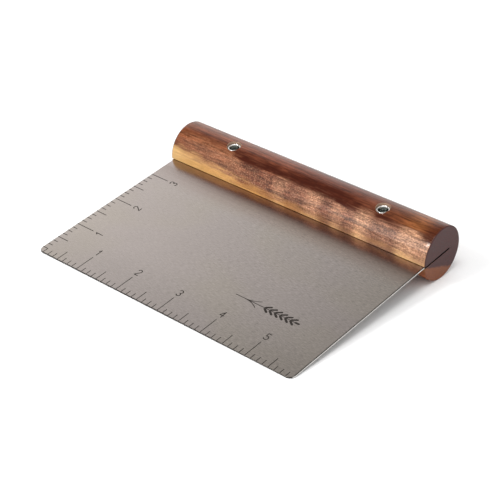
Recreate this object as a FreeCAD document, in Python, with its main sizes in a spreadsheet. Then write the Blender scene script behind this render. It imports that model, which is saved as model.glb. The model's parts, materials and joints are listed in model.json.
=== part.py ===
"""Bench scraper: an etched steel blade riveted into a round wooden handle.

Every piece is drawn flat, in the handle's frame: X runs along the handle's axis, Y from the blade's
front edge towards the handle, and the blade's upper face lies in the XY plane. Each piece is then
tilted and lifted by its Placement, so that the scraper rests on the blade's front edge and the
handle's underside, centred on the origin with the surface it rests on at Z = 0.
"""
import FreeCAD, Part

import math
import os

import Sketcher
from FreeCAD import Placement, Rotation, Vector

DIMENSIONS = {
    # Blade: a sheared sheet, six inches wide
    "blade_width": 152.4,
    "blade_thickness": 0.8,
    "front_reach": 105.5,           # front edge to the handle's axis
    "blade_past_axis": 5.0,         # how far the blade goes on behind the axis
    "corner_radius": 3.0,
    "edge_break": 0.15,
    # Handle: a turned stick with a saw kerf that holds the blade
    "handle_diameter": 26.6,
    "handle_length": 154.2,
    "left_overhang": 1.4,           # the handle's left end beyond the blade's left edge
    "handle_edge_radius": 0.4,
    "kerf_past_axis": 5.5,
    "kerf_clearance": 0.12,         # the gap left above the blade
    "kerf_edge_break": 0.2,
    # Rivets, from the blade's left edge, and their holes
    "left_rivet_inset": 31.0,
    "rivet_spacing": 90.2,
    "rivet_before_axis": 1.5,       # the rivets stand this far in front of the handle's axis
    "handle_bore": 5.1,
    "blade_hole": 5.2,
    "counterbore_diameter": 7.1,
    "counterbore_floor": 11.4,      # from the blade's upper face to the shoulder under each head
    # Sleeve: a flanged tube, put in from the top
    "sleeve_diameter": 5.0,
    "sleeve_bore": 4.2,
    "flange_diameter": 6.5,
    "flange_thickness": 0.9,
    "rim_width": 0.62,
    "flare_depth": 1.1,
    "sleeve_tail_gap": 0.3,
    "rim_rounding": 0.3,
    # Post: a headed pin, pressed into the sleeve from the underside
    "head_thickness": 0.8,
    "tip_below_rim": 2.4,
    "tip_chamfer": 0.4,
    # Etched ruler marks, in eighths of an inch
    "inch": 25.4,
    "front_inches": 6,
    "left_inches": 3,
    "mark_width": 0.42,
    "mark_depth": 0.05,
    "inch_mark": 10.8,
    "half_mark": 6.7,
    "eighth_mark": 3.1,
    # Etched numerals and the ornament
    "numeral_inset": 14.8,          # a numeral's centre, from the edge that it measures along
    "numeral_height": 4.4,
    "numeral_stroke": 0.5,
    "ornament_line": 0.4,
    "ornament_grain": 1.1,
    "ornament_left": 115.0,         # the ornament's centre, from the blade's left edge
    "ornament_inset": 29.0,         # and from its front edge
}

HANDLE_RADIUS = "dims.handle_diameter / 2"
LEFT_EDGE = "-dims.handle_length / 2 + dims.left_overhang"
FRONT_EDGE = "-dims.front_reach"
RIVET_Y = "-dims.rivet_before_axis"
LEFT_RIVET_X = LEFT_EDGE + " + dims.left_rivet_inset"
RIGHT_RIVET_X = LEFT_RIVET_X + " + dims.rivet_spacing"
RIVETS = {"left": LEFT_RIVET_X, "right": RIGHT_RIVET_X}

# The sleeve's rim and the two ends of a rivet, measured from the blade's upper face along the rivet
RIM_TOP = "dims.counterbore_floor + dims.flange_thickness"
POST_TIP = RIM_TOP + " - dims.tip_below_rim"
SLEEVE_TAIL = "-dims.counterbore_floor + dims.sleeve_tail_gap"

# A ruler mark's name, how many there are to the inch, and the cell with its length
MARKS = (("eighth", 8, "eighth_mark"), ("half", 2, "half_mark"), ("inch", 1, "inch_mark"))
CUT_OVERRUN = 1.0                   # a cutter starts this far outside the piece
TOLERANCE = 1e-4

doc = FreeCAD.newDocument("bench_scraper")


def make_sheet():
    """Write the driving dimensions, one row each, with the name as the value's alias."""
    sheet = doc.addObject("Spreadsheet::Sheet", "dims")
    for row, (name, size) in enumerate(DIMENSIONS.items(), start=1):
        sheet.set(f"A{row}", name)
        sheet.set(f"B{row}", str(size))
        sheet.setAlias(f"B{row}", name)
    doc.recompute()
    return sheet


def make_rest_pose():
    """Work out how the scraper lies: tilted about the handle's axis until the blade's lower front
    edge and the handle's underside touch one level surface, and centred from front to back."""
    rest = doc.addObject("App::VarSet", "rest")
    rest.addProperty("App::PropertyAngle", "tilt")
    rest.addProperty("App::PropertyFloat", "axis_y")
    foot = "(dims.front_reach - dims.edge_break)"
    slope = f"asin({HANDLE_RADIUS} / sqrt({foot}^2 + dims.blade_thickness^2))"
    rest.setExpression("tilt", f"{slope} - atan(dims.blade_thickness / {foot})")
    front = "dims.front_reach * cos(rest.tilt) - dims.edge_break * sin(rest.tilt)"
    rest.setExpression("axis_y", f"({front} - {HANDLE_RADIUS}) / 2")
    doc.recompute()


def value(formula):
    """The present value of a formula over the sheet's cells."""
    return float(sheet.evalExpression(formula))


def place(piece, name, x="0", y="0"):
    """Name a piece and put it in the resting pose, x along the handle and y along the blade."""
    piece.Label = name
    piece.Placement = Placement(Vector(), Rotation(Vector(1, 0, 0), 1))
    piece.setExpression("Placement.Base.x", x)
    piece.setExpression("Placement.Base.y", f"rest.axis_y + ({y}) * cos(rest.tilt)")
    piece.setExpression("Placement.Base.z", f"{HANDLE_RADIUS} + ({y}) * sin(rest.tilt)")
    piece.setExpression("Placement.Rotation.Angle", "rest.tilt")
    doc.recompute()
    return piece


# Sketches -------------------------------------------------------------------------------------


def origin_feature(body, role):
    return next(item for item in body.Origin.OriginFeatures if item.Role == role)


def new_sketch(body, name, plane, height="0"):
    """A sketch on one of the body's origin planes, moved along the plane's normal by height."""
    sketch = body.newObject("Sketcher::SketchObject", name)
    sketch.AttachmentSupport = [(origin_feature(body, plane), "")]
    sketch.MapMode = "FlatFace"
    sketch.setExpression("AttachmentOffset.Base.z", height)
    return sketch


def bind(sketch, kind, references, formula):
    """Add one dimension to a sketch and drive it by a formula."""
    index = sketch.addConstraint(Sketcher.Constraint(kind, *references, value(formula)))
    sketch.setExpression(f"Constraints[{index}]", formula)


def draw_outline(sketch, corners):
    """A closed outline of straight lines, each corner driven by a formula for x and one for y."""
    points = [Vector(value(x), value(y), 0) for x, y in corners]
    count = len(points)
    for number, point in enumerate(points):
        sketch.addGeometry(Part.LineSegment(point, points[(number + 1) % count]), False)
    for number in range(count):
        sketch.addConstraint(Sketcher.Constraint("Coincident", number, 2, (number + 1) % count, 1))
    for number, (x, y) in enumerate(corners):
        bind(sketch, "DistanceX", (-1, 1, number, 1), x)
        bind(sketch, "DistanceY", (-1, 1, number, 1), y)


def draw_rectangle(sketch, x_low, x_high, y_low, y_high):
    draw_outline(sketch, [(x_low, y_low), (x_high, y_low), (x_high, y_high), (x_low, y_high)])


def draw_rivet_circles(sketch, diameter):
    """One circle at each rivet."""
    for number, x in enumerate(RIVETS.values()):
        centre = Vector(value(x), value(RIVET_Y), 0)
        circle = Part.Circle(centre, Vector(0, 0, 1), value(diameter) / 2)
        sketch.addGeometry(circle, False)
        bind(sketch, "Diameter", (number,), diameter)
        bind(sketch, "DistanceX", (-1, 1, number, 3), x)
        bind(sketch, "DistanceY", (-1, 1, number, 3), RIVET_Y)


# Features -------------------------------------------------------------------------------------


def pad(body, name, profile, length):
    """Pad a profile by the same amount on both sides of its plane."""
    feature = body.newObject("PartDesign::Pad", name)
    feature.Profile = profile
    feature.SideType = "Symmetric"
    feature.setExpression("Length", length)
    doc.recompute()


def pocket(body, name, profile, depth=None, both_sides=False, reverse=False):
    """Cut a profile out of a body, right through unless a depth is given, and check that it cuts."""
    before = body.Shape.Volume
    feature = body.newObject("PartDesign::Pocket", name)
    feature.Profile = profile
    feature.SideType = "Symmetric" if both_sides else "One side"
    feature.Reversed = reverse
    if depth:
        feature.setExpression("Length", depth)
    else:
        feature.Type = "ThroughAll"
    doc.recompute()
    if body.Shape.Volume > before - TOLERANCE:
        raise ValueError(f"{name} removes nothing")
    return feature


def repeat(body, name, feature, axis, spacing, count):
    """Repeat a feature along one of the body's axes."""
    pattern = body.newObject("PartDesign::LinearPattern", name)
    pattern.Originals = [feature]
    pattern.Direction = (origin_feature(body, axis), [""])
    pattern.Mode = "Spacing"
    pattern.setExpression("Offset", spacing)
    pattern.setExpression("Occurrences", count)
    body.Tip = pattern
    doc.recompute()


def dress_edges(body, kind, name, size, wanted):
    """Fillet or chamfer the edges of a body that the test picks out."""
    names = [f"Edge{number}" for number, edge in enumerate(body.Shape.Edges, start=1) if wanted(edge)]
    base = body.Tip
    feature = body.newObject(f"PartDesign::{kind}", name)
    feature.Base = (base, names)
    feature.setExpression("Radius" if kind == "Fillet" else "Size", size)
    doc.recompute()


def revolve(body, name, profile):
    """Turn a profile once round the sketch's upright axis."""
    feature = body.newObject("PartDesign::Revolution", name)
    feature.Profile = profile
    feature.ReferenceAxis = (profile, ["V_Axis"])
    feature.Angle = 360
    doc.recompute()


# Blade ----------------------------------------------------------------------------------------


def make_blade_blank():
    """The sheared and drilled sheet, with its front corners rounded and its edges broken."""
    body = doc.addObject("PartDesign::Body", "blade_blank")
    outline = new_sketch(body, "blade_outline", "XY_Plane", "-dims.blade_thickness / 2")
    right_edge = f"{LEFT_EDGE} + dims.blade_width"
    draw_rectangle(outline, LEFT_EDGE, right_edge, FRONT_EDGE, "dims.blade_past_axis")
    pad(body, "blade_sheet", outline, "dims.blade_thickness")

    def is_front_corner(edge):
        return edge.BoundBox.ZLength > TOLERANCE and edge.BoundBox.YMax < value(FRONT_EDGE) + TOLERANCE

    def is_rim(edge):
        return edge.BoundBox.ZLength < TOLERANCE

    dress_edges(body, "Fillet", "front_corners", "dims.corner_radius", is_front_corner)
    dress_edges(body, "Chamfer", "broken_edges", "dims.edge_break", is_rim)
    holes = new_sketch(body, "blade_hole_centres", "XY_Plane")
    draw_rivet_circles(holes, "dims.blade_hole")
    pocket(body, "blade_holes", holes, both_sides=True)
    return body


def cut_ruler(body, ruler, axis, count_formula):
    """Cut one edge's marks: a family each of eighths, halves and inches, counted from the corner."""
    overrun = str(CUT_OVERRUN)
    for family, per_inch, length in MARKS:
        spacing = f"dims.inch / {per_inch}"
        along = (f"{spacing} - dims.mark_width / 2", f"{spacing} + dims.mark_width / 2")
        across = (f"-{overrun}", f"dims.{length}")
        from_left, from_front = (along, across) if axis == "X_Axis" else (across, along)
        sketch = new_sketch(body, f"{ruler}_{family}_mark", "XY_Plane")
        draw_rectangle(
            sketch,
            f"{LEFT_EDGE} + {from_left[0]}",
            f"{LEFT_EDGE} + {from_left[1]}",
            f"{FRONT_EDGE} + {from_front[0]}",
            f"{FRONT_EDGE} + {from_front[1]}",
        )
        first = pocket(body, f"{ruler}_{family}_first", sketch, depth="dims.mark_depth")
        count = count_formula.format(per_inch=per_inch)
        if value(count) > 1:
            repeat(body, f"{ruler}_{family}_marks", first, axis, spacing, count)


def engraver(width):
    """Pen strokes of one width, each a solid as deep as the engraving plus some cover above it."""
    depth = value("dims.mark_depth") + CUT_OVERRUN
    radius = width / 2

    def dot(x, y):
        return Part.makeCylinder(radius, depth, Vector(x, y, 0))

    def line(x_start, y_start, x_end, y_end):
        length = math.hypot(x_end - x_start, y_end - y_start)
        bar = Part.makeBox(length, width, depth, Vector(0, -radius, 0))
        angle = math.degrees(math.atan2(y_end - y_start, x_end - x_start))
        bar.Placement = Placement(Vector(x_start, y_start, 0), Rotation(Vector(0, 0, 1), angle))
        return [bar, dot(x_start, y_start), dot(x_end, y_end)]

    def arc(x_centre, y_centre, bend, start, sweep):
        up = Vector(0, 0, 1)
        ring = Part.makeCylinder(bend + radius, depth, Vector(), up, sweep)
        ring = ring.cut(Part.makeCylinder(bend - radius, depth))
        ring.Placement = Placement(Vector(x_centre, y_centre, 0), Rotation(up, start))
        ends = []
        for degrees in (start, start + sweep):
            turn = math.radians(degrees)
            ends.append(dot(x_centre + bend * math.cos(turn), y_centre + bend * math.sin(turn)))
        return [ring] + ends

    return line, arc


def merge(solids):
    return solids[0].multiFuse(solids[1:]).removeSplitter()


def numeral_strokes(digit):
    """One numeral from 1 to 5, centred on its own origin, its foot towards -Y."""
    stroke = value("dims.numeral_stroke")
    half = (value("dims.numeral_height") - stroke) / 2
    side = half / 2
    line, arc = engraver(stroke)
    if digit == 1:
        flag_x, flag_y = -0.8 * side, 0.5 * half
        strokes = line(0, -half, 0, half) + line(0, half, flag_x, flag_y)
    elif digit == 2:
        bowl_y = half - side
        bowl_start, bowl_sweep = -40, 205
        neck_x = side * math.cos(math.radians(bowl_start))
        neck_y = bowl_y + side * math.sin(math.radians(bowl_start))
        strokes = arc(0, bowl_y, side, bowl_start, bowl_sweep)
        strokes += line(neck_x, neck_y, -side, -half) + line(-side, -half, side, -half)
    elif digit == 3:
        upper_start, lower_start, bowl_sweep = -90, -150, 240
        strokes = arc(0, side, side, upper_start, bowl_sweep)
        strokes += arc(0, -side, side, lower_start, bowl_sweep)
    elif digit == 4:
        stem_x, bar_y = 0.5 * side, -0.35 * half
        strokes = line(stem_x, -half, stem_x, half) + line(stem_x, half, -side, bar_y)
        strokes += line(-side, bar_y, side, bar_y)
    else:
        bowl, bowl_x, bowl_start = 0.58 * half, -0.1 * side, -145
        bowl_y = -half + bowl
        back_x, flag_x = -0.75 * side, 0.85 * side
        bowl_end = 180 - math.degrees(math.acos((bowl_x - back_x) / bowl))
        shoulder = bowl_y + bowl * math.sin(math.radians(bowl_end))
        strokes = line(flag_x, half, back_x, half) + line(back_x, half, back_x, shoulder)
        strokes += arc(bowl_x, bowl_y, bowl, bowl_start, bowl_end - bowl_start)
    return merge(strokes)


def ornament_strokes():
    """A plain ear of wheat, lying along X and centred on its own origin."""
    fine_line, fine_arc = engraver(value("dims.ornament_line"))
    grain_line, _ = engraver(value("dims.ornament_grain"))

    stalk_foot, stalk_top = -18.0, 16.0
    top_grain_start, top_grain_end = 15.8, 17.4
    strokes = fine_line(stalk_foot, 0, stalk_top, 0) + grain_line(top_grain_start, 0, top_grain_end, 0)

    leaf_foot, leaf_bend, leaf_sweep = -13.0, 14.0, 34
    strokes += fine_arc(leaf_foot, leaf_bend, leaf_bend, -90, leaf_sweep)
    strokes += fine_arc(leaf_foot, -leaf_bend, leaf_bend, 90 - leaf_sweep, leaf_sweep)

    first_grain, grain_pitch, grains_a_side = -1.2, 2.9, 6
    grain_reach, grain_inner, grain_outer = 2.0, 0.5, 1.9
    for number in range(grains_a_side):
        x = first_grain + number * grain_pitch
        for side in (-1, 1):
            strokes += grain_line(x, side * grain_inner, x + grain_reach, side * grain_outer)
    return merge(strokes)


def make_engraving():
    """The numerals beside the inch marks of both rulers, and the ornament, as one cutting tool."""
    left = value(LEFT_EDGE)
    front = value(FRONT_EDGE)
    inset = value("dims.numeral_inset")
    inch = value("dims.inch")
    floor = value("-dims.mark_depth")
    up = Vector(0, 0, 1)
    figures = []
    for digit in range(1, round(value("dims.front_inches"))):
        figure = numeral_strokes(digit)
        figure.Placement = Placement(Vector(left + digit * inch, front + inset, floor), Rotation())
        figures.append(figure)
    for digit in range(1, round(value("dims.left_inches")) + 1):
        figure = numeral_strokes(digit)
        figure.Placement = Placement(Vector(left + inset, front + digit * inch, floor), Rotation(up, 90))
        figures.append(figure)
    ornament = ornament_strokes()
    x = left + value("dims.ornament_left")
    y = front + value("dims.ornament_inset")
    ornament.Placement = Placement(Vector(x, y, floor), Rotation())
    figures.append(ornament)
    engraving = doc.addObject("Part::Feature", "engraving")
    engraving.Shape = Part.Compound(figures)
    return engraving


def make_blade():
    """The finished blade: the blank with its rulers, then the numerals and ornament cut in."""
    blank = make_blade_blank()
    cut_ruler(blank, "front", "X_Axis", "dims.front_inches * {per_inch} - 1")
    cut_ruler(blank, "left", "Y_Axis", "dims.left_inches * {per_inch}")
    blade = doc.addObject("Part::Cut", "blade")
    blade.Base = blank
    blade.Tool = make_engraving()
    return place(blade, "blade")


# Handle ---------------------------------------------------------------------------------------


def make_handle():
    """The stick, with its ends eased, the kerf along it and a counterbored hole for each rivet."""
    body = doc.addObject("PartDesign::Body", "handle")
    section = new_sketch(body, "handle_section", "YZ_Plane")
    section.addGeometry(Part.Circle(Vector(), Vector(0, 0, 1), value(HANDLE_RADIUS)), False)
    section.addConstraint(Sketcher.Constraint("Coincident", 0, 3, -1, 1))
    bind(section, "Diameter", (0,), "dims.handle_diameter")
    pad(body, "handle_stick", section, "dims.handle_length")

    def is_end(edge):
        return edge.BoundBox.XLength < TOLERANCE

    dress_edges(body, "Fillet", "eased_ends", "dims.handle_edge_radius", is_end)
    kerf = new_sketch(body, "kerf_section", "YZ_Plane")
    outside = f"-{HANDLE_RADIUS} - {CUT_OVERRUN}"
    lip = f"-{HANDLE_RADIUS} + dims.kerf_edge_break"
    flare = f"(dims.kerf_edge_break + {CUT_OVERRUN})"
    draw_outline(kerf, [
        (outside, f"-dims.blade_thickness - {flare}"),
        (lip, "-dims.blade_thickness"),
        ("dims.kerf_past_axis", "-dims.blade_thickness"),
        ("dims.kerf_past_axis", "dims.kerf_clearance"),
        (lip, "dims.kerf_clearance"),
        (outside, f"dims.kerf_clearance + {flare}"),
    ])
    pocket(body, "kerf", kerf, both_sides=True)

    bores = new_sketch(body, "bore_centres", "XY_Plane")
    draw_rivet_circles(bores, "dims.handle_bore")
    pocket(body, "bores", bores, both_sides=True)
    for side, sign, outward in (("top", "", True), ("bottom", "-", False)):
        seat = new_sketch(body, f"{side}_counterbore_centres", "XY_Plane", f"{sign}dims.counterbore_floor")
        draw_rivet_circles(seat, "dims.counterbore_diameter")
        pocket(body, f"{side}_counterbores", seat, reverse=outward)
    return place(body, "handle")


# Rivets ---------------------------------------------------------------------------------------


def is_circle_at(edge, height, radius):
    """Whether an edge is a circle about the rivet's axis, at this height and of this radius."""
    box = edge.BoundBox
    flat = box.ZLength < TOLERANCE and abs(box.ZMax - height) < TOLERANCE
    return flat and abs(box.XLength / 2 - radius) < TOLERANCE


def make_sleeve(side, x):
    """A tube with a thin flange, whose mouth flares into a narrow rounded rim."""
    body = doc.addObject("PartDesign::Body", f"rivet_sleeve_{side}")
    profile = new_sketch(body, f"sleeve_{side}_profile", "XZ_Plane")
    mouth = "dims.flange_diameter / 2 - dims.rim_width"
    draw_outline(profile, [
        ("dims.sleeve_bore / 2", SLEEVE_TAIL),
        ("dims.sleeve_diameter / 2", SLEEVE_TAIL),
        ("dims.sleeve_diameter / 2", "dims.counterbore_floor"),
        ("dims.flange_diameter / 2", "dims.counterbore_floor"),
        ("dims.flange_diameter / 2", RIM_TOP),
        (mouth, RIM_TOP),
        ("dims.sleeve_bore / 2", f"{RIM_TOP} - dims.flare_depth"),
    ])
    revolve(body, f"sleeve_{side}_tube", profile)

    def is_rim_edge(edge):
        radii = (value("dims.flange_diameter / 2"), value(mouth))
        return any(is_circle_at(edge, value(RIM_TOP), radius) for radius in radii)

    dress_edges(body, "Fillet", f"sleeve_{side}_rim", "dims.rim_rounding", is_rim_edge)
    return place(body, f"rivet_sleeve_{side}", x, RIVET_Y)


def make_post(side, x):
    """A pin that fills the sleeve's bore, with a flat head below and a chamfered tip above."""
    body = doc.addObject("PartDesign::Body", f"rivet_post_{side}")
    profile = new_sketch(body, f"post_{side}_profile", "XZ_Plane")
    head_bottom = "-dims.counterbore_floor - dims.head_thickness"
    draw_outline(profile, [
        ("0", head_bottom),
        ("dims.flange_diameter / 2", head_bottom),
        ("dims.flange_diameter / 2", "-dims.counterbore_floor"),
        ("dims.sleeve_bore / 2", "-dims.counterbore_floor"),
        ("dims.sleeve_bore / 2", f"{POST_TIP} - dims.tip_chamfer"),
        ("dims.sleeve_bore / 2 - dims.tip_chamfer", POST_TIP),
        ("0", POST_TIP),
    ])
    revolve(body, f"post_{side}_pin", profile)

    def is_head_edge(edge):
        return is_circle_at(edge, value(head_bottom), value("dims.flange_diameter / 2"))

    dress_edges(body, "Fillet", f"post_{side}_head", "dims.rim_rounding", is_head_edge)
    return place(body, f"rivet_post_{side}", x, RIVET_Y)


# Document and files ---------------------------------------------------------------------------


def check(pieces):
    """Stop if any object failed to compute, or if any piece isn't one valid solid."""
    doc.recompute()
    for item in doc.Objects:
        if "Invalid" in item.State or "Error" in item.State:
            raise ValueError(f"{item.Name} failed: {item.State}")
    for piece in pieces:
        shape = piece.Shape
        if shape.isNull() or not shape.isValid() or len(shape.Solids) != 1:
            raise ValueError(f"{piece.Label} isn't one valid solid")


def write(pieces):
    os.makedirs("parts", exist_ok=True)
    for piece in pieces:
        piece.Shape.exportStep(f"parts/{piece.Label}.step")
        box = piece.Shape.BoundBox
        print(f"{piece.Label}: {box.XLength:.2f} x {box.YLength:.2f} x {box.ZLength:.2f} mm, "
              f"{piece.Shape.Volume:.1f} mm3, {len(piece.Shape.Faces)} faces")


sheet = make_sheet()
make_rest_pose()
PIECES = [make_handle(), make_blade()]
for rivet_side, rivet_x in RIVETS.items():
    PIECES.append(make_sleeve(rivet_side, rivet_x))
    PIECES.append(make_post(rivet_side, rivet_x))
check(PIECES)
write(PIECES)
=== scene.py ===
"""The bench scraper's looks: lacquered acacia, brushed steel and polished rivets, on white paper.

Lengths inside the materials are millimetres in the handle's own frame: x runs along the handle, y
from the blade's front edge towards the handle, and z stands square to the blade.
"""
import json
import math

import bmesh
import bpy
from mathutils import Euler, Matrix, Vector


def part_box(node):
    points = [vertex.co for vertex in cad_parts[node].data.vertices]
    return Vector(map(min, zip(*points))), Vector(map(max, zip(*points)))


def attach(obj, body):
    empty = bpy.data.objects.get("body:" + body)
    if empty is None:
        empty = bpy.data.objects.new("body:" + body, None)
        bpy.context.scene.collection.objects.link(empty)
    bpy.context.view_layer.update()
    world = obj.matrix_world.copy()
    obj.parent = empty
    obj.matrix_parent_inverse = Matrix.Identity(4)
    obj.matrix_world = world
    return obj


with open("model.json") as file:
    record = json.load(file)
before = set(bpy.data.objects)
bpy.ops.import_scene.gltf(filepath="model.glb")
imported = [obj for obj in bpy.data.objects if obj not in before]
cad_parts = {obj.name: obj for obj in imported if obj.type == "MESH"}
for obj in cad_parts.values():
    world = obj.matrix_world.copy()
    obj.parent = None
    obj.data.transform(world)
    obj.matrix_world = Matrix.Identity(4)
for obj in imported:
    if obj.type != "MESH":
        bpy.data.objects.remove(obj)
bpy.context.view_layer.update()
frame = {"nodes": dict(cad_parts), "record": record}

MM = 0.001

RIVET_SIDES = ("left", "right")

# Where the handle and the blade lie, read from the frame
HANDLE_LOW, HANDLE_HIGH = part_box("handle")
HANDLE_CENTRE = (HANDLE_LOW + HANDLE_HIGH) / 2
HANDLE_RADIUS_MM = HANDLE_CENTRE.z / MM
HANDLE_HALF_LENGTH_MM = HANDLE_HIGH.x / MM
BLADE_LOW, BLADE_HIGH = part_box("blade")
BLADE_RIGHT = BLADE_HIGH.x / MM


def read_tilt():
    """How far the blade slopes, from the direction that its scraping edge faces."""
    mount = next(m for m in frame["record"]["mounts"] if m["name"] == "scraping_edge")
    return math.atan2(-mount["axis"][2], -mount["axis"][1])


TILT = read_tilt()
BLADE_NORMAL = Vector((0, -math.sin(TILT), math.cos(TILT)))
BLADE_FRONT = (BLADE_LOW.y - HANDLE_CENTRE.y) / math.cos(TILT) / MM

# Camera
CAMERA_PLACE = (0.40054, -0.46167, 0.37784)
CAMERA_TURN_DEGREES = (58.5794, -0.5002, 41.0455)
CAMERA_LENS, CAMERA_SENSOR = 112.3, 36.0
CAMERA_NEAREST = 0.01


# Node trees -----------------------------------------------------------------------------------


class Tree:
    """Short calls that add nodes to a tree. An input is a number, a tuple or another node's output."""

    def __init__(self, node_tree):
        self.node_tree = node_tree
        node_tree.nodes.clear()

    def add(self, kind, settings=None, **inputs):
        node = self.node_tree.nodes.new(kind)
        for name, setting in (settings or {}).items():
            setattr(node, name, setting)
        for name, given in inputs.items():
            self.set(node.inputs[name.replace("_", " ")], given)
        return node

    def set(self, socket, given):
        if isinstance(given, bpy.types.NodeSocket):
            self.node_tree.links.new(given, socket)
        else:
            socket.default_value = given

    def math(self, operation, *operands, clamp=False):
        node = self.add("ShaderNodeMath", {"operation": operation, "use_clamp": clamp})
        for socket, operand in zip(node.inputs, operands):
            self.set(socket, operand)
        return node.outputs["Value"]

    def fold(self, operation, terms):
        result = terms[0]
        for term in terms[1:]:
            result = self.math(operation, result, term)
        return result

    def total(self, *terms):
        return self.fold("ADD", terms)

    def product(self, *terms):
        return self.fold("MULTIPLY", terms)

    def vector(self, operation, *operands):
        node = self.add("ShaderNodeVectorMath", {"operation": operation})
        for socket, operand in zip(node.inputs, operands):
            self.set(socket, operand)
        return node.outputs["Value" if operation in ("DOT_PRODUCT", "LENGTH") else "Vector"]

    def step(self, value, low, high):
        """0 below low, 1 above high and a smooth rise between; low may be the larger of the two."""
        settings = {"interpolation_type": "SMOOTHSTEP"}
        node = self.add("ShaderNodeMapRange", settings, Value=value, From_Min=low, From_Max=high)
        return node.outputs["Result"]

    def noise(self, place, size, detail=2.0, roughness=0.5, spread=None):
        """Noise from 0 to 1, its grains as long as size along each axis. With spread, from -spread
        to spread."""
        scaled = self.vector("DIVIDE", place, size)
        settings = {"Scale": 1.0, "Detail": detail, "Roughness": roughness}
        grain = self.add("ShaderNodeTexNoise", Vector=scaled, **settings)
        value = grain.outputs["Fac"]
        if spread is None:
            return value
        return self.math("MULTIPLY_ADD", value, 2 * spread, -spread)

    def ramp(self, value, stops, interpolation="EASE"):
        """Colours by value; each stop is a place from 0 to 1 and a linear colour."""
        node = self.add("ShaderNodeValToRGB", Fac=value)
        ramp = node.color_ramp
        ramp.interpolation = interpolation
        while len(ramp.elements) < len(stops):
            ramp.elements.new(1.0)
        for element, (place, colour) in zip(ramp.elements, stops):
            element.position = place
            element.color = (*colour, 1.0)
        return node.outputs["Color"]

    def mix(self, factor, low, high):
        """The colour low where factor is 0 and high where it is 1."""
        node = self.add("ShaderNodeMix", {"data_type": "RGBA"})
        for socket, given in ((node.inputs[0], factor), (node.inputs[6], low), (node.inputs[7], high)):
            if isinstance(given, tuple) and len(given) == 3:
                given = (*given, 1.0)
            self.set(socket, given)
        return node.outputs[2]

    def scale_colour(self, colour, factor):
        """A colour made brighter or darker by a factor."""
        node = self.add("ShaderNodeVectorMath", {"operation": "SCALE"})
        self.set(node.inputs[0], colour)
        self.set(node.inputs["Scale"], factor)
        return node.outputs["Vector"]


def new_material(name, describe):
    """A material whose Principled shader is set up by describe(tree, shader)."""
    material = bpy.data.materials.new(name)
    material.use_nodes = True
    tree = Tree(material.node_tree)
    shader = tree.add("ShaderNodeBsdfPrincipled")
    output = tree.add("ShaderNodeOutputMaterial")
    tree.set(output.inputs["Surface"], shader.outputs["BSDF"])
    describe(tree, shader)
    return material


def set_inputs(tree, shader, **inputs):
    for name, given in inputs.items():
        tree.set(shader.inputs[name.replace("_", " ")], given)


def handle_frame(tree):
    """The place of the shaded point in the handle's frame, in millimetres."""
    place = tree.add("ShaderNodeTexCoord").outputs["Object"]
    centred = tree.vector("SUBTRACT", place, tuple(HANDLE_CENTRE))
    level = tree.add("ShaderNodeMapping", Vector=centred, Rotation=(-TILT, 0, 0), Scale=(1 / MM,) * 3)
    return level.outputs["Vector"]


def split(tree, vector):
    node = tree.add("ShaderNodeSeparateXYZ", Vector=vector)
    return node.outputs["X"], node.outputs["Y"], node.outputs["Z"]


def bump(tree, height, distance, normal=None):
    """A bumped normal, from a height map and the height in metres that 1 stands for."""
    node = tree.add("ShaderNodeBump", Height=height, Distance=distance, Strength=1.0)
    if normal is not None:
        tree.set(node.inputs["Normal"], normal)
    return node.outputs["Normal"]


# Wood -----------------------------------------------------------------------------------------

# The growth layers lie square to this direction, towards the sapwood at the lower front
SAPWOOD_TURN = math.radians(-25)
# The layers slope along the stick, most near its left end
LAYER_DRIFT = 0.315
DRIFT_HALVES_EVERY = 28.0

# The reddish layers of the lower side lie square to this direction
LOWER_TURN = math.radians(-63)
# The kerf, the rivets' seats and the worn shoulders, in millimetres
KERF_END = 5.5
KERF_MIDDLE, KERF_HALF_GAP = -0.34, 0.46
SEAT_FLOOR, SEAT_RADIUS, SEAT_BEFORE_AXIS = 11.4, 3.55, 1.5
SHOULDER_LENGTH, SHOULDER_DROP = 3.2, 0.15

# Colours along the stick, from x = -80 to 80: sapwood, heartwood below the dark streak and above it
ALONG = 80.0
SAPWOOD = (
    (-77, (0.575, 0.350, 0.136)), (-62, (0.535, 0.290, 0.098)), (-50, (0.545, 0.282, 0.088)),
    (-28, (0.575, 0.285, 0.088)), (-10, (0.455, 0.208, 0.068)), (10, (0.350, 0.155, 0.058)),
    (45, (0.235, 0.098, 0.041)), (77, (0.270, 0.128, 0.062)),
)
HEARTWOOD = (
    (-77, (0.152, 0.041, 0.015)), (-45, (0.150, 0.041, 0.016)), (-20, (0.150, 0.050, 0.027)),
    (5, (0.165, 0.060, 0.035)), (45, (0.190, 0.077, 0.046)), (77, (0.210, 0.095, 0.056)),
)
UPPER_HEARTWOOD = (
    (-77, (0.200, 0.070, 0.037)), (-45, (0.175, 0.056, 0.029)), (-12, (0.172, 0.050, 0.025)),
    (8, (0.135, 0.038, 0.020)), (28, (0.135, 0.038, 0.019)), (42, (0.125, 0.038, 0.019)),
    (56, (0.145, 0.045, 0.019)), (66, (0.235, 0.080, 0.027)), (75, (0.100, 0.027, 0.011)),
)
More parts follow.
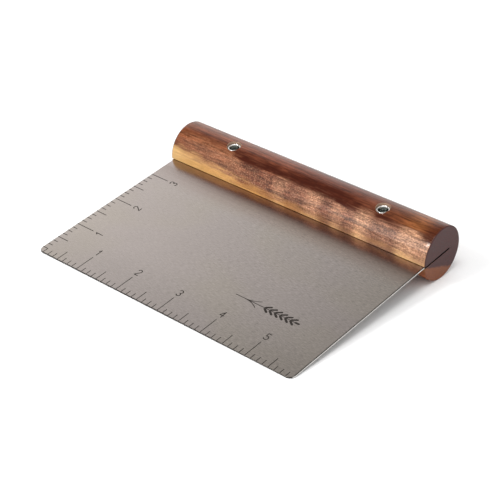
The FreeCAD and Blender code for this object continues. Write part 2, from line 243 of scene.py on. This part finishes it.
# The dark streak: x, then the depth of its lower and upper edge below the sapwood side (0 to 1),
# and its strength
STREAK = (
    (-77, (0.64, 0.69, 0.30)), (-66, (0.67, 0.73, 0.60)), (-52, (0.71, 0.75, 0.65)),
    (-45, (0.64, 0.72, 0.75)), (-38, (0.57, 0.71, 0.95)), (-30, (0.52, 0.72, 0.95)),
    (-14, (0.55, 0.75, 0.95)), (0, (0.57, 0.80, 0.95)), (10, (0.59, 0.83, 0.95)),
    (18, (0.575, 0.80, 1.00)), (26, (0.56, 0.78, 1.00)), (34, (0.58, 0.75, 0.90)),
    (37, (0.66, 0.74, 0.30)), (40, (0.72, 0.76, 0.00)), (43, (0.66, 0.73, 0.30)),
    (47, (0.58, 0.71, 0.80)), (54, (0.57, 0.69, 0.75)), (60, (0.60, 0.64, 0.00)),
    (66, (0.60, 0.64, 0.00)), (70, (0.57, 0.68, 0.40)), (74, (0.51, 0.68, 0.95)),
)
STREAK_COLOURS = ((0.030, 0.0070, 0.0040), (0.070, 0.0140, 0.0065))
# The bars of curl, painted as paler wood and as a painted highlight where slanted fibres catch the light:
# how strong they are along x, and the most that the bars and the sparks add. The bars are stronger in the
# sapwood
CURL = (
    (-77, 0.05), (-66, 0.25), (-50, 0.32), (-38, 0.35), (-30, 0.05), (-14, 0.00), (-10, 0.60),
    (-6, 0.50), (-3, 0.05), (5, 0.10), (10, 0.62), (14, 0.60), (18, 0.00), (21, 0.00),
    (25, 0.60), (28, 0.42), (31, 0.00), (35, 0.20), (39, 1.05), (42, 0.95), (46, 0.10),
    (52, 0.20), (58, 0.00), (62, 0.90), (68, 0.95), (72, 0.50), (77, 0.60),
)
CURL_SHINE, SPARK_SHINE = 0.31, 0.27
SAPWOOD_GAIN = 1.6
HEARTWOOD_SHINE, SAPWOOD_SHINE = (0.84, 0.47, 0.27), (0.80, 0.48, 0.19)
# How bright the wood is at the bars of curl and between them, along x: partly the wood's own tone, partly
# painted light and shade of the curl
CURL_SHADE = (
    (-77, 1.00), (-32, 1.00), (-26, 0.95), (-20, 1.00), (-12, 1.04), (-6, 1.00), (1, 0.93),
    (8, 0.98), (13, 1.00), (17, 0.92), (22, 0.92), (26, 1.00), (30, 0.90), (34, 0.91),
    (38, 1.05), (43, 1.06), (48, 0.93), (57, 0.96), (64, 1.00), (77, 0.97),
)
# How dark the painted shade in the kerf is, along x
KERF_SHADE_ALONG = ((-77, 0.35), (-58, 0.70), (-42, 1.00), (77, 1.00))
# How lively the flecks are, along x
LIVELY = ((-77, 0.30), (-50, 0.50), (-32, 1.00), (77, 1.00))

# Where a feature of the wood sets in, in the layer coordinate: its first trace, then all of it
UPPER_WOOD_AT = (-0.20, -0.36)
SAPWOOD_AT = (0.38, 0.70)
BARS_AT = (-0.36, -0.10)
SPARKS_AT, SPARKS_BELOW = (-0.20, 0.02), (0.75, 0.45)
FLECKS_AT = (-0.30, 0.00)
CALM_AT = (0.35, 0.58)
PORES_AT = (0.10, -0.15)
# How much the grain calms down in the sapwood, and the middle and the lowest of its shades
CALM = 0.72
GRAIN_MIDDLE, GRAIN_DARKEST = 0.90, 0.42
PORE_COLOUR, PORE_STRENGTH = (0.030, 0.010, 0.007), 0.4
# The reddish wood at the lower right: its lower layers, and x in millimetres
LOWER_WOOD = (0.340, 0.100, 0.036)
LOWER_WOOD_AT, LOWER_WOOD_FROM_X = (0.48, 0.66), (50.0, 72.0)
# The end faces, told by their normal's x, and their two woods
END_FACE_AT = (0.15, 0.60)
END_WOODS, END_LOWER_AT = ((0.050, 0.012, 0.011), (0.170, 0.048, 0.014)), (0.44, 0.54)
END_PORE_COLOUR, END_PORE_STRENGTH = (0.012, 0.005, 0.005), 0.5
# The counterbores' walls, painted pale partly as bare wood and partly as a painted highlight, and the
# painted shade in the kerf
SEAT_WOOD_AND_HIGHLIGHT_COLOUR = (0.36, 0.235, 0.165)
KERF_SHADE_COLOUR = (0.006, 0.004, 0.003)


def along_stick(tree, place, stops, interpolation="EASE"):
    """Colours given by x, each stop with one number or three."""
    position = tree.math("MULTIPLY_ADD", split(tree, place)[0], 0.5 / ALONG, 0.5)
    grey = [(at, (tone,) * 3 if isinstance(tone, float) else tone) for at, tone in stops]
    return tree.ramp(position, [(0.5 + 0.5 * at / ALONG, tone) for at, tone in grey], interpolation)


def square_to(angle):
    """A vector that gives a place's distance towards an angle about the stick's axis, in radii."""
    return 0, -math.cos(angle) / HANDLE_RADIUS_MM, math.sin(angle) / HANDLE_RADIUS_MM


def wood_layers(tree, place):
    """The layer coordinate: 1 at the sapwood side of the stick, -1 at the far side, less the drift."""
    across = tree.vector("DOT_PRODUCT", place, square_to(SAPWOOD_TURN))
    from_left = tree.math("ADD", split(tree, place)[0], HANDLE_HALF_LENGTH_MM)
    fade = tree.math("POWER", 0.5, tree.math("DIVIDE", from_left, DRIFT_HALVES_EVERY))
    drift = tree.math("MULTIPLY_ADD", fade, -LAYER_DRIFT, LAYER_DRIFT)
    sway = tree.noise(place, (40, 9, 9), detail=2, spread=0.10)
    ripple = tree.noise(place, (10, 2.0, 2.0), detail=3, spread=0.20)
    fibre = tree.noise(place, (7, 0.5, 0.5), detail=3, spread=0.10)
    return tree.total(tree.math("SUBTRACT", across, drift), sway, ripple, fibre)


def lower_layers(tree, place):
    """1 at the lower side of the stick, and -1 at its upper side."""
    depth = tree.vector("DOT_PRODUCT", place, square_to(LOWER_TURN))
    return tree.math("ADD", depth, tree.noise(place, (9, 3, 3), detail=3, spread=0.10))


def streak_mask(tree, place, layers):
    """How much of the dark streak shows, in patches; its upper edge is the softer one."""
    depth = tree.math("MULTIPLY_ADD", layers, -0.5, 0.5)
    lower, upper, strength = split(tree, along_stick(tree, place, STREAK))
    lower = tree.math("ADD", lower, tree.noise(place, (10, 3, 3), detail=3, spread=0.08))
    above_lower = tree.step(depth, tree.math("ADD", lower, -0.060), tree.math("ADD", lower, 0.050))
    below_upper = tree.step(depth, tree.math("ADD", upper, 0.09), tree.math("ADD", upper, -0.09))
    patches = tree.noise(place, (9, 1.5, 1.5), detail=4, roughness=0.6, spread=1.1)
    cover = tree.math("MULTIPLY", above_lower, below_upper)
    return tree.math("MULTIPLY", cover, tree.math("ADD", strength, patches), clamp=True)


def catch_light(tree, place, layers):
    """Where the wood is painted paler, partly as a painted highlight: bars of curl across the stick, and
    sparks on the fibres.
    """
    slant = tree.noise(place, (5, 1.8, 1.8), detail=3, roughness=0.6, spread=4.0)
    swayed = tree.add("ShaderNodeCombineXYZ", X=slant).outputs["Vector"]
    bars = along_stick(tree, tree.vector("ADD", place, swayed), CURL, "LINEAR")
    bars = tree.product(bars, tree.step(layers, *BARS_AT), CURL_SHINE)
    ragged = tree.noise(place, (1.6, 0.7, 0.7), detail=3, roughness=0.7, spread=1.5)
    sapwood = tree.math("MULTIPLY", tree.step(layers, *SAPWOOD_AT), SAPWOOD_GAIN)

    sparks = tree.step(tree.noise(place, (0.6, 0.45, 0.45), detail=2, roughness=0.6), 0.50, 0.68)
    lively = tree.math("MULTIPLY", along_stick(tree, place, LIVELY), tree.step(layers, *SPARKS_BELOW))
    sparks = tree.product(sparks, lively, tree.step(layers, *SPARKS_AT), SPARK_SHINE)
    return tree.math("MULTIPLY_ADD", bars, tree.total(sapwood, ragged, 1.0), sparks, clamp=True)


def grain_shade(tree, place, layers):
    """Light and dark along the fibres, calmer in the sapwood."""
    flecks = tree.noise(place, (0.9, 0.7, 0.7), detail=2, roughness=0.7, spread=1.15)
    streaks = tree.noise(place, (18, 0.9, 0.9), detail=3, roughness=0.6, spread=1.1)
    smoke = tree.noise(place, (7, 2.2, 2.2), detail=3, roughness=0.6, spread=0.60)
    hairs = tree.noise(place, (5, 0.35, 0.35), detail=2, spread=0.65)
    flecks = tree.product(flecks, along_stick(tree, place, LIVELY), tree.step(layers, *FLECKS_AT))
    swing = tree.math("MULTIPLY_ADD", tree.step(layers, *CALM_AT), -CALM, 1.0)
    uneven = tree.math("MULTIPLY", tree.total(flecks, streaks, smoke, hairs), swing)
    shade = tree.math("MAXIMUM", tree.math("ADD", uneven, GRAIN_MIDDLE), GRAIN_DARKEST)
    return tree.math("MULTIPLY", shade, along_stick(tree, place, CURL_SHADE))


def wood_colour(tree, place, layers):
    """The lacquered side of the stick: its woods, the light on the curl, the streak and the pores."""
    heart = along_stick(tree, place, HEARTWOOD)
    upper = along_stick(tree, place, UPPER_HEARTWOOD)
    colour = tree.mix(tree.step(layers, *UPPER_WOOD_AT), heart, upper)
    is_sapwood = tree.step(layers, *SAPWOOD_AT)
    colour = tree.mix(is_sapwood, colour, along_stick(tree, place, SAPWOOD))
    is_lower = tree.math("MULTIPLY", tree.step(lower_layers(tree, place), *LOWER_WOOD_AT),
                         tree.step(split(tree, place)[0], *LOWER_WOOD_FROM_X))
    colour = tree.mix(is_lower, colour, LOWER_WOOD)

    shine = tree.mix(is_sapwood, HEARTWOOD_SHINE, SAPWOOD_SHINE)
    caught = tree.math("MULTIPLY", catch_light(tree, place, layers), tree.math("SUBTRACT", 1.0, is_lower))
    # Painted highlight of the curl and the sparks, partly paler wood
    colour = tree.mix(caught, colour, shine)
    colour = tree.scale_colour(colour, grain_shade(tree, place, layers))

    dark = tree.mix(tree.noise(place, (8, 0.8, 0.8), detail=3), *STREAK_COLOURS)
    colour = tree.mix(streak_mask(tree, place, layers), colour, dark)
    pores = tree.step(tree.noise(place, (2.4, 0.28, 0.28), detail=1), 0.60, 0.70)
    pores = tree.product(pores, tree.step(layers, *PORES_AT), PORE_STRENGTH)
    return tree.mix(pores, colour, PORE_COLOUR)


def end_grain_colour(tree, place):
    """Dark heartwood, and the orange-brown layers at the lower side."""
    base = tree.mix(tree.step(lower_layers(tree, place), *END_LOWER_AT), *END_WOODS)
    speckle = tree.noise(place, (0.5, 0.5, 0.5), detail=3, spread=0.60)
    base = tree.scale_colour(base, tree.math("ADD", speckle, 1.0))
    pores = tree.step(tree.noise(place, (0.3, 0.3, 0.3), detail=1), 0.62, 0.70)
    return tree.mix(tree.math("MULTIPLY", pores, END_PORE_STRENGTH), base, END_PORE_COLOUR)


def from_axis(tree, place):
    """The distance from the stick's axis."""
    return tree.vector("LENGTH", tree.vector("MULTIPLY", place, (0, 1, 1)))


def kerf_shade(tree, place):
    """How much painted shade darkens the walls of the kerf, and 0 outside it."""
    x, y, z = split(tree, place)
    from_middle = tree.math("ABSOLUTE", tree.math("SUBTRACT", z, KERF_MIDDLE))
    from_centre = tree.math("ABSOLUTE", x)
    return tree.product(
        tree.step(from_middle, KERF_HALF_GAP + 0.10, KERF_HALF_GAP + 0.02),
        tree.step(from_axis(tree, place), HANDLE_RADIUS_MM - 0.2, HANDLE_RADIUS_MM - 0.5),
        tree.step(y, KERF_END + 0.10, KERF_END + 0.02),
        tree.step(from_centre, HANDLE_HALF_LENGTH_MM - 0.03, HANDLE_HALF_LENGTH_MM - 0.10),
        along_stick(tree, place, KERF_SHADE_ALONG),
    )


def rivet_seats(tree, place):
    """1 on the walls of the counterbores, which are painted pale: partly bare wood, partly a painted
    highlight where the walls catch the light.
    """
    x, y, z = split(tree, place)
    height = tree.step(tree.math("ABSOLUTE", z), SEAT_FLOOR - 0.3, SEAT_FLOOR - 0.1)
    along = tree.math("ADD", y, SEAT_BEFORE_AXIS)
    near = 0.0
    for side in RIVET_SIDES:
        low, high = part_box(f"rivet_sleeve_{side}")
        across = tree.math("SUBTRACT", x, (low.x + high.x) / 2 / MM)
        offset = tree.add("ShaderNodeCombineXYZ", X=across, Y=along).outputs["Vector"]
        distance = tree.vector("LENGTH", offset)
        near = tree.math("ADD", near, tree.step(distance, SEAT_RADIUS + 0.06, SEAT_RADIUS + 0.01))
    return tree.math("MULTIPLY", near, height)


def worn_shoulders(tree, place):
    """A height map that falls away over the last few millimetres of the stick."""
    past = tree.math("SUBTRACT", tree.math("ABSOLUTE", split(tree, place)[0]),
                     HANDLE_HALF_LENGTH_MM - SHOULDER_LENGTH)
    into = tree.math("DIVIDE", tree.math("MAXIMUM", past, 0.0), SHOULDER_LENGTH)
    return tree.product(into, into, -1.0)


def describe_wood(tree, shader):
    """Acacia under a clear, slightly uneven lacquer, with painted shade in the kerf and the counterbores'
    walls painted pale, partly as a painted highlight.
    """
    place = handle_frame(tree)
    layers = wood_layers(tree, place)
    normal = tree.add("ShaderNodeNewGeometry").outputs["Normal"]
    is_end = tree.step(tree.math("ABSOLUTE", split(tree, normal)[0]), *END_FACE_AT)
    colour = tree.mix(is_end, wood_colour(tree, place, layers), end_grain_colour(tree, place))
    # Counterbore walls painted pale, partly as a painted highlight, and painted shade in the kerf
    colour = tree.mix(rivet_seats(tree, place), colour, SEAT_WOOD_AND_HIGHLIGHT_COLOUR)
    colour = tree.mix(kerf_shade(tree, place), colour, KERF_SHADE_COLOUR)
    grain = tree.noise(place, (12, 0.35, 0.35), detail=3)
    orange_peel = tree.noise(place, (2.2, 1.4, 1.4), detail=1)
    shoulders = bump(tree, worn_shoulders(tree, place), SHOULDER_DROP * MM)
    set_inputs(
        tree, shader,
        Base_Color=colour,
        Roughness=tree.math("MULTIPLY_ADD", grain, 0.2, 0.5),
        Normal=bump(tree, grain, 0.04 * MM),
        Specular_IOR_Level=0.0,
        Coat_Weight=0.52,
        Coat_Roughness=0.15,
        Coat_IOR=1.5,
        Coat_Normal=bump(tree, orange_peel, 0.03 * MM, normal=shoulders),
    )


# Metal ----------------------------------------------------------------------------------------

STEEL = (0.359, 0.322, 0.303)
# The brushing is coarser to the right: x in millimetres, and how strong it is at its finest
COARSER_FROM_X, FINEST = (-70.0, 50.0), 0.45
# The steel is painted darker by this much near its scraping edge, as painted shade: where that sets in,
# and all of it
EDGE_SHADE, EDGE_SHADE_WITHIN = 0.07, (28.0, 5.0)
# The steel's own tint, and the faint straw tint that lies over it in patches
TINTS = ((1.00, 0.985, 0.98), (0.99, 0.98, 0.93))
# A brown band painted on the steel in front of the handle, strongest to the right. It deepens the
# handle's mirror image, which the gloss alone leaves narrow: how bright the steel is, by the distance
# from the wood
BAND_REACH, BAND_FROM_X = 20.0, (-110.0, -20.0)
BAND = (
    (0.00, (1.10, 1.02, 1.06)), (0.16, (1.02, 0.92, 0.98)), (0.26, (0.76, 0.62, 0.61)),
    (0.32, (0.57, 0.46, 0.43)), (0.39, (0.63, 0.53, 0.50)), (0.49, (0.75, 0.67, 0.64)),
    (0.64, (0.88, 0.82, 0.80)), (0.84, (0.97, 0.95, 0.94)), (1.00, (1.00, 1.00, 1.00)),
)
# The edges were sheared and then deburred. They are told by the cosine between their normal and the
# face's, and the blade's ends by their normal's x. The sheared edges carry painted shade, the chamfer a
# dark painted reflection and the ends a painted highlight
SHEARED_AT = (0.60, 0.30)
DEBURRED_COSINE, DEBURRED_WITHIN = 0.71, (0.20, 0.10)
SIDE_ON_AT = (0.75, 0.95)
# A dark painted reflection lies on the face within this distance of its right edge, in millimetres: its
# first trace, then all of it
DARK_REFLECTION_WITHIN = (0.45, 0.35)
# Painted colours: dark painted reflection on chamfer and right edge, painted shade on sheared edges,
# painted highlight on the ends, painted shade inside the kerf
DARK_REFLECTION_COLOUR, SHEARED_SHADE_COLOUR = (0.055, 0.048, 0.042), (0.060, 0.054, 0.050)
END_HIGHLIGHT_COLOUR, IN_KERF_SHADE_COLOUR = (0.700, 0.680, 0.650), (0.010, 0.008, 0.007)


def steel_colour(tree, place, lines):
    """The face of the blade: brushed lines and flecks, painted shade near the edge, tint and the painted
    reflection band before the handle.
    """
    x, y, z = split(tree, place)
    flecks = tree.noise(place, (2.4, 0.32, 0.32), detail=2, roughness=0.6, spread=0.36)
    flecks = tree.math("MULTIPLY", flecks, tree.math("ADD", tree.step(x, *COARSER_FROM_X), FINEST))
    cloud = tree.noise(place, (30, 22, 22), detail=3, spread=0.04)
    shade = tree.total(tree.math("MULTIPLY_ADD", lines, 0.20, 0.90), cloud, flecks)
    # Painted shade towards the scraping edge
    near_edge = tree.step(tree.math("SUBTRACT", y, BLADE_FRONT), *EDGE_SHADE_WITHIN)
    colour = tree.scale_colour(STEEL, tree.math("MULTIPLY_ADD", near_edge, -EDGE_SHADE, shade))

    before_handle = tree.math("SUBTRACT", tree.math("MULTIPLY", y, -1.0), HANDLE_RADIUS_MM)
    band = tree.ramp(tree.math("DIVIDE", before_handle, BAND_REACH), BAND)
    band = tree.mix(tree.step(x, *BAND_FROM_X), (1.0, 1.0, 1.0), band)
    straw = tree.step(tree.noise(place, (55, 40, 40), detail=2), 0.40, 0.62)
    return tree.vector("MULTIPLY", tree.vector("MULTIPLY", colour, band), tree.mix(straw, *TINTS))


def describe_blade(tree, shader):
    """Steel brushed along the blade's width, with rougher sheared edges; painted shade, reflection and
    highlight on its edges and ends, and painted shade inside the kerf.
    """
    place = handle_frame(tree)
    coarse = tree.noise(place, (60, 0.8, 0.8), detail=4, roughness=0.6)
    fine = tree.noise(place, (14, 0.16, 0.16), detail=3, roughness=0.7)
    lines = tree.total(tree.math("MULTIPLY", coarse, 0.4), tree.math("MULTIPLY", fine, 0.6))

    normal = tree.add("ShaderNodeNewGeometry").outputs["Normal"]
    facing = tree.math("ABSOLUTE", tree.vector("DOT_PRODUCT", normal, tuple(BLADE_NORMAL)))
    sheared = tree.step(facing, *SHEARED_AT)
    off_deburred = tree.math("ABSOLUTE", tree.math("SUBTRACT", facing, DEBURRED_COSINE))
    deburred = tree.step(off_deburred, *DEBURRED_WITHIN)
    side_on = tree.step(tree.math("ABSOLUTE", split(tree, normal)[0]), *SIDE_ON_AT)
    in_kerf = tree.step(from_axis(tree, place), HANDLE_RADIUS_MM - 0.1, HANDLE_RADIUS_MM - 0.4)
    by_right_edge = tree.step(split(tree, place)[0], *(BLADE_RIGHT - within for within in DARK_REFLECTION_WITHIN))

    colour = steel_colour(tree, place, lines)
    # Painted reflection and shade on the edges, painted highlight on the ends, painted shade inside the
    # kerf
    colour = tree.mix(tree.math("MAXIMUM", deburred, by_right_edge), colour, DARK_REFLECTION_COLOUR)
    colour = tree.mix(sheared, colour, SHEARED_SHADE_COLOUR)
    colour = tree.mix(side_on, colour, END_HIGHLIGHT_COLOUR)
    colour = tree.mix(in_kerf, colour, IN_KERF_SHADE_COLOUR)
    brushed = tree.math("MULTIPLY_ADD", lines, 0.08, 0.13)
    tangent = tree.add("ShaderNodeCombineXYZ", Y=1.0)
    set_inputs(
        tree, shader,
        Base_Color=colour,
        Metallic=1.0,
        Roughness=tree.math("MULTIPLY_ADD", sheared, 0.3, brushed),
        Anisotropic=0.6,
        Tangent=tangent.outputs["Vector"],
        Normal=bump(tree, lines, 0.004 * MM),
    )


def describe_etching(tree, shader):
    """The dark oxide that an electrolytic etch leaves at the bottom of a mark."""
    mottle = tree.noise(handle_frame(tree), (0.5, 0.5, 0.5), detail=3)
    set_inputs(
        tree, shader,
        Base_Color=tree.mix(mottle, (0.016, 0.013, 0.011), (0.036, 0.030, 0.026)),
        Roughness=tree.math("MULTIPLY_ADD", mottle, 0.2, 0.5),
        Specular_IOR_Level=0.10,
        Normal=bump(tree, mottle, 0.01 * MM),
    )


# Heights above the handle's axis between which a sleeve's bore turns from painted shade to polished
POLISHED_ABOVE = (11.70, 11.95)


def describe_sleeve(tree, shader):
    """Polished steel with the faint marks of turning, painted dark down inside the bore as painted shade.
    """
    place = handle_frame(tree)
    marks = tree.noise(place, (0.25, 0.25, 0.25), detail=3)
    polished = tree.step(split(tree, place)[2], *POLISHED_ABOVE)
    bright = tree.mix(marks, (0.72, 0.70, 0.67), (0.80, 0.78, 0.75))
    # Painted shade down inside the bore
    bore_shade = tree.mix(marks, (0.100, 0.108, 0.100), (0.170, 0.180, 0.165))
    set_inputs(
        tree, shader,
        Base_Color=tree.mix(polished, bore_shade, bright),
        Metallic=1.0,
        Roughness=tree.math("MULTIPLY_ADD", marks, 0.12, 0.12),
        Normal=bump(tree, marks, 0.008 * MM),
    )


def describe_post(tree, shader):
    """Steel as it was cut, greyer than the sleeve; at the bottom of the bore the grey is partly painted
    shade.
    """
    marks = tree.noise(handle_frame(tree), (0.3, 0.3, 0.3), detail=3)
    set_inputs(
        tree, shader,
        Base_Color=tree.mix(marks, (0.30, 0.31, 0.29), (0.48, 0.49, 0.46)),
        Metallic=1.0,
        Roughness=tree.math("MULTIPLY_ADD", marks, 0.2, 0.30),
        Normal=bump(tree, marks, 0.01 * MM),
    )


def paint(node, material):
    """Give every material slot of a CAD node the same material."""
    for material_slot in frame["nodes"][node].material_slots:
        material_slot.material = material


# Etched marks ---------------------------------------------------------------------------------

ETCH_DEPTH_MM = 0.05
ETCH_FILM_MM = 0.03
FLOOR_COSINE = 0.99


def make_etched_marks(material):
    """A film of dark oxide on the floor of every ruler mark, numeral and ornament stroke."""
    blade = frame["nodes"]["blade"]
    film = bmesh.new()
    film.from_mesh(blade.data)
    axis = Vector((0, HANDLE_CENTRE.y, HANDLE_CENTRE.z))

    def is_floor(face):
        depth = -(face.calc_center_median() - axis).dot(BLADE_NORMAL) / MM
        faces_up = face.normal.dot(BLADE_NORMAL) > FLOOR_COSINE
        return faces_up and abs(depth - ETCH_DEPTH_MM) < ETCH_DEPTH_MM / 5

    others = [face for face in film.faces if not is_floor(face)]
    bmesh.ops.delete(film, geom=others, context="FACES")
    bmesh.ops.remove_doubles(film, verts=film.verts, dist=MM / 1000)
    raised = bmesh.ops.extrude_face_region(film, geom=film.faces[:], use_keep_orig=True)
    top = [item for item in raised["geom"] if isinstance(item, bmesh.types.BMVert)]
    bmesh.ops.translate(film, verts=top, vec=BLADE_NORMAL * ETCH_FILM_MM * MM)
    bmesh.ops.recalc_face_normals(film, faces=film.faces[:])
    mesh = bpy.data.meshes.new("etched_marks")
    film.to_mesh(mesh)
    film.free()
    mesh.materials.append(material)
    piece = bpy.data.objects.new("etched_marks", mesh)
    bpy.context.scene.collection.objects.link(piece)
    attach(piece, "root")


# Stage ----------------------------------------------------------------------------------------

FLOOR_HALF_SIZE = 4.0
PAPER_TOOTH = 0.002
PAPER_SHADES = ((0.90, 0.90, 0.90), (0.93, 0.93, 0.93))


def make_floor():
    """A white sheet under the object, with a faint paper tooth."""
    def describe(tree, shader):
        place = tree.add("ShaderNodeTexCoord").outputs["Object"]
        tooth = tree.noise(place, (PAPER_TOOTH,) * 3, detail=2)
        set_inputs(tree, shader, Base_Color=tree.mix(tooth, *PAPER_SHADES), Roughness=0.9)

    half = FLOOR_HALF_SIZE
    mesh = bpy.data.meshes.new("floor")
    corners = [(-half, -half, 0), (half, -half, 0), (half, half, 0), (-half, half, 0)]
    mesh.from_pydata(corners, [], [(0, 1, 2, 3)])
    mesh.materials.append(new_material("white_paper", describe))
    floor = bpy.data.objects.new("floor", mesh)
    bpy.context.scene.collection.objects.link(floor)


# The dark ceiling between the lights, as a direction and the angles from it, in degrees, within which
# it is dark and beyond which it is white
CEILING = Vector((-0.40, -0.02, 0.916)).normalized()
CEILING_EDGE = (20.0, 32.0)
CEILING_SHADE = 0.12
STUDIO_WHITE = 0.95
# The room behind the object: its shade is a plane over the direction's x and z
BACK_SHADE = 0.68
BACK_BY_X = -3.35
BACK_BY_Z = -2.25
BACK_DARKEST, BACK_BRIGHTEST = 0.2, 1.7
# It sets in between these values of the direction's y and x
BACK_FROM_Y, BACK_FROM_X = (0.0, 0.45), (0.15, -0.30)


def make_world():
    """A white studio with a dark ceiling, whose room behind the object darkens upwards and rightwards.
    Only reflections and light show that: a camera sees plain white."""
    world = bpy.data.worlds.new("studio")
    world.use_nodes = True
    bpy.context.scene.world = world
    tree = Tree(world.node_tree)
    direction = tree.add("ShaderNodeTexCoord").outputs["Generated"]
    x, y, z = split(tree, direction)
    back = tree.math("MULTIPLY_ADD", x, BACK_BY_X, BACK_SHADE)
    back = tree.math("MULTIPLY_ADD", z, BACK_BY_Z, back)
    back = tree.math("MINIMUM", tree.math("MAXIMUM", back, BACK_DARKEST), BACK_BRIGHTEST)
    is_back = tree.math("MULTIPLY", tree.step(y, *BACK_FROM_Y), tree.step(x, *BACK_FROM_X))
    shade = tree.mix(is_back, (STUDIO_WHITE,) * 3, tree.scale_colour((1.0, 1.0, 1.0), back))
    toward = tree.vector("DOT_PRODUCT", direction, tuple(CEILING))
    inner, outer = (math.cos(math.radians(angle)) for angle in CEILING_EDGE)
    shade = tree.mix(tree.step(toward, outer, inner), shade, (CEILING_SHADE,) * 3)
    seen = tree.add("ShaderNodeLightPath").outputs["Is Camera Ray"]
    colour = tree.mix(seen, shade, (1.0, 1.0, 1.0))
    background = tree.add("ShaderNodeBackground", Color=colour, Strength=1.0)
    output = tree.add("ShaderNodeOutputWorld")
    tree.set(output.inputs["Surface"], background.outputs["Background"])


def make_light(name, place, target, size, power):
    light = bpy.data.lights.new(name, "AREA")
    light.shape = "RECTANGLE"
    light.size, light.size_y = size
    light.energy = power
    lamp = bpy.data.objects.new(name, light)
    lamp.location = place
    lamp.rotation_euler = (Vector(target) - Vector(place)).to_track_quat("-Z", "Y").to_euler()
    bpy.context.scene.collection.objects.link(lamp)


# Each light: its name, where it stands, where it points, its size in metres and its power in watts
LIGHTS = (
    ("key", (0.12, -0.45, 1.65), (0, 0, 0), (0.7, 0.7), 11),
    ("window", (-0.46, -1.10, 0.72), (0.05, 0, 0.01), (0.5, 1.1), 6),
    ("lamp", (-0.38, -0.87, 0.85), (0.07, 0.04, 0.02), (0.14, 0.30), 3.5),
)


def make_camera():
    camera_data = bpy.data.cameras.new("camera")
    camera_data.sensor_width = CAMERA_SENSOR
    camera_data.lens = CAMERA_LENS
    camera_data.clip_start = CAMERA_NEAREST
    camera = bpy.data.objects.new("camera", camera_data)
    camera.location = CAMERA_PLACE
    camera.rotation_euler = Euler([math.radians(angle) for angle in CAMERA_TURN_DEGREES])
    bpy.context.scene.collection.objects.link(camera)
    bpy.context.scene.camera = camera


paint("handle", new_material("lacquered_acacia", describe_wood))
paint("blade", new_material("brushed_steel", describe_blade))
sleeve_steel = new_material("polished_steel", describe_sleeve)
post_steel = new_material("cut_steel", describe_post)
for rivet_side in RIVET_SIDES:
    paint(f"rivet_sleeve_{rivet_side}", sleeve_steel)
    paint(f"rivet_post_{rivet_side}", post_steel)
make_etched_marks(new_material("etched_oxide", describe_etching))

make_floor()
make_world()
for light_values in LIGHTS:
    make_light(*light_values)
make_camera()
bpy.context.scene.view_settings.view_transform = "Standard"
